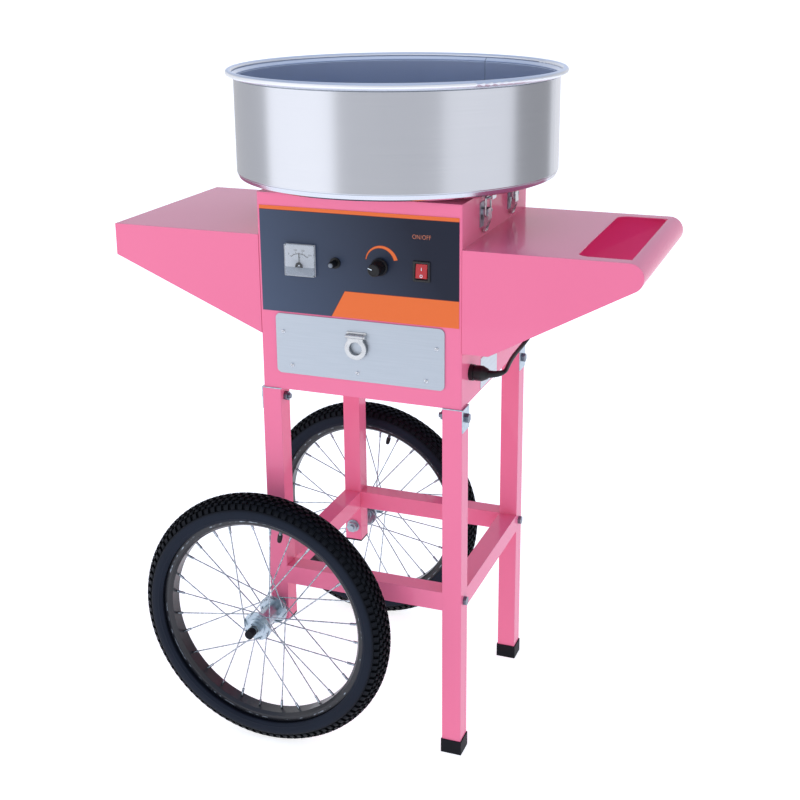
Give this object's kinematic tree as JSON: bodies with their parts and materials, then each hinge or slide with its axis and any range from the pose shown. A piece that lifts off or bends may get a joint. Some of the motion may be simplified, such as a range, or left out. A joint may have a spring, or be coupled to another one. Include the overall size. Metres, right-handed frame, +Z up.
{
  "type": "cotton candy machine cart",
  "caption": "Electric cotton candy machine: a square pink body with drawer and side shelves under a deep steel bowl, on a two-wheel cart with spoked wheels.",
  "frame": {"origin": "on the floor, under the middle of the machine's bounding box", "axes": "+Z up; -Y towards the control panel and drawer; +X towards the shelf with the hand hole"},
  "size_m": [0.8144, 0.546, 1.042],
  "materials": {
    "pink_paint": "gloss powder coat",
    "stainless": "spun and brushed",
    "front_steel": "fine brushed",
    "zinc": "bright zinc plated",
    "chrome": "plated",
    "tyre_rubber": "moulded tread",
    "black_rim": "black with a bright edge",
    "cap_rubber": "matte",
    "cord_pvc": "smooth cord sheath",
    "black_plastic": "matte",
    "red_plastic": "gloss",
    "white_plastic": "gloss dial and case",
    "clear_plastic": "clear",
    "film": "printed satin film",
    "plate_metal": "bare",
    "board": "coated board",
    "motor_steel": "black enamel",
    "head_aluminium": "turned",
    "brush_board": "phenolic"
  },
  "bodies": {
    "chassis": {"body_shell": "pink_paint", "top_plate": "pink_paint", "panel_film": "film", "rating_plate": "plate_metal", "wing_left": "pink_paint", "wing_right": "pink_paint", "body_screws": "zinc", "voltmeter_body": "white_plastic", "voltmeter_lens": "clear_plastic", "fuse_holder": "black_plastic", "control_board": "board", "switch_housing": "black_plastic", "drawer_runners": "zinc", "leg_front_left": "pink_paint", "leg_rear_left": "pink_paint", "leg_front_right": "pink_paint", "leg_rear_right": "pink_paint", "frame_rails": "pink_paint", "leg_brackets": "zinc", "frame_bolts": "zinc", "end_caps": "cap_rubber", "wheel_axles": "zinc", "bowl": "stainless", "bowl_catches": "stainless", "latch_bases": "zinc", "motor": "motor_steel", "brush_block": "brush_board", "cable_gland": "black_plastic", "power_cord": "cord_pvc", "cord_hank": "cord_pvc", "power_plug": "black_plastic"},
    "front_wheel": {"front_tyre": "tyre_rubber", "front_rim": "black_rim", "front_spokes": "zinc", "front_hub": "zinc"},
    "rear_wheel": {"rear_tyre": "tyre_rubber", "rear_rim": "black_rim", "rear_spokes": "zinc", "rear_hub": "zinc"},
    "drawer": {"drawer_tray": "front_steel", "drawer_front": "front_steel", "drawer_screws": "chrome", "pull_base": "chrome"},
    "ring_pull": {"pull_ring": "chrome"},
    "meter_needle": {"voltmeter_needle": "black_plastic"},
    "fuse_carrier": {"fuse_cap": "black_plastic"},
    "knob": {"control_knob": "black_plastic"},
    "rocker": {"switch_rocker": "red_plastic"},
    "spinner": {"motor_shaft": "zinc", "head_base": "head_aluminium", "head_band": "stainless", "head_cap": "head_aluminium"},
    "lever_front_left": {"latch_lever_front_left": "zinc"},
    "bail_front_left": {"latch_bail_front_left": "chrome"},
    "lever_rear_left": {"latch_lever_rear_left": "zinc"},
    "bail_rear_left": {"latch_bail_rear_left": "chrome"},
    "lever_front_right": {"latch_lever_front_right": "zinc"},
    "bail_front_right": {"latch_bail_front_right": "chrome"},
    "lever_rear_right": {"latch_lever_rear_right": "zinc"},
    "bail_rear_right": {"latch_bail_rear_right": "chrome"}
  },
  "joints": [
    {"name": "front_wheel_spin", "type": "hinge", "parent": "chassis", "child": "front_wheel", "pos_m": [-0.14875, -0.216, 0.208], "axis": [0, 1, 0], "continuous": true},
    {"name": "rear_wheel_spin", "type": "hinge", "parent": "chassis", "child": "rear_wheel", "pos_m": [-0.14875, 0.216, 0.208], "axis": [0, 1, 0], "continuous": true},
    {"name": "drawer_slide", "type": "slide", "parent": "chassis", "child": "drawer", "axis": [0, -1, 0], "range_m": [0, 0.23]},
    {"name": "ring_pull_lift", "type": "hinge", "parent": "drawer", "child": "ring_pull", "pos_m": [-0.00665, -0.1708, 0.668], "axis": [-1, 0, 0], "range_deg": [0, 100]},
    {"name": "meter_needle_swing", "type": "hinge", "parent": "chassis", "child": "meter_needle", "pos_m": [-0.09325, -0.1695, 0.76747], "axis": [0, 1, 0], "range_deg": [-45, 45], "stiffness_Nm_per_rad": 0.0002},
    {"name": "fuse_cap_twist", "type": "hinge", "parent": "chassis", "child": "fuse_carrier", "pos_m": [-0.03825, -0.17, 0.775], "axis": [0, -1, 0], "range_deg": [0, 60]},
    {"name": "knob_turn", "type": "hinge", "parent": "chassis", "child": "knob", "pos_m": [0.03125, -0.168, 0.775], "axis": [0, 1, 0], "range_deg": [0, 270]},
    {"name": "rocker_tilt", "type": "hinge", "parent": "chassis", "child": "rocker", "pos_m": [0.09435, -0.1628, 0.773], "axis": [1, 0, 0], "range_deg": [0, 16]},
    {"name": "head_spin", "type": "hinge", "parent": "chassis", "child": "spinner", "pos_m": [-0.00425, 0, 0.9], "axis": [0, 0, 1], "continuous": true},
    {"name": "lever_front_left_swing", "type": "hinge", "parent": "chassis", "child": "lever_front_left", "pos_m": [-0.17025, -0.07, 0.846], "axis": [0, 1, 0], "range_deg": [0, 140]},
    {"name": "bail_front_left_swing", "type": "hinge", "parent": "lever_front_left", "child": "bail_front_left", "pos_m": [-0.17025, -0.07, 0.84], "axis": [0, 1, 0], "range_deg": [-140, 0]},
    {"name": "lever_rear_left_swing", "type": "hinge", "parent": "chassis", "child": "lever_rear_left", "pos_m": [-0.17025, 0.07, 0.846], "axis": [0, 1, 0], "range_deg": [0, 140]},
    {"name": "bail_rear_left_swing", "type": "hinge", "parent": "lever_rear_left", "child": "bail_rear_left", "pos_m": [-0.17025, 0.07, 0.84], "axis": [0, 1, 0], "range_deg": [-140, 0]},
    {"name": "lever_front_right_swing", "type": "hinge", "parent": "chassis", "child": "lever_front_right", "pos_m": [0.16175, -0.07, 0.846], "axis": [0, -1, 0], "range_deg": [0, 140]},
    {"name": "bail_front_right_swing", "type": "hinge", "parent": "lever_front_right", "child": "bail_front_right", "pos_m": [0.16175, -0.07, 0.84], "axis": [0, -1, 0], "range_deg": [-140, 0]},
    {"name": "lever_rear_right_swing", "type": "hinge", "parent": "chassis", "child": "lever_rear_right", "pos_m": [0.16175, 0.07, 0.846], "axis": [0, -1, 0], "range_deg": [0, 140]},
    {"name": "bail_rear_right_swing", "type": "hinge", "parent": "lever_rear_right", "child": "bail_rear_right", "pos_m": [0.16175, 0.07, 0.84], "axis": [0, -1, 0], "range_deg": [-140, 0]}
  ],
  "couplings": [
    {"joint": "bail_front_left_swing", "follows": "lever_front_left_swing", "ratio": -1},
    {"joint": "bail_rear_left_swing", "follows": "lever_rear_left_swing", "ratio": -1},
    {"joint": "bail_front_right_swing", "follows": "lever_front_right_swing", "ratio": -1},
    {"joint": "bail_rear_right_swing", "follows": "lever_rear_right_swing", "ratio": -1}
  ]
}
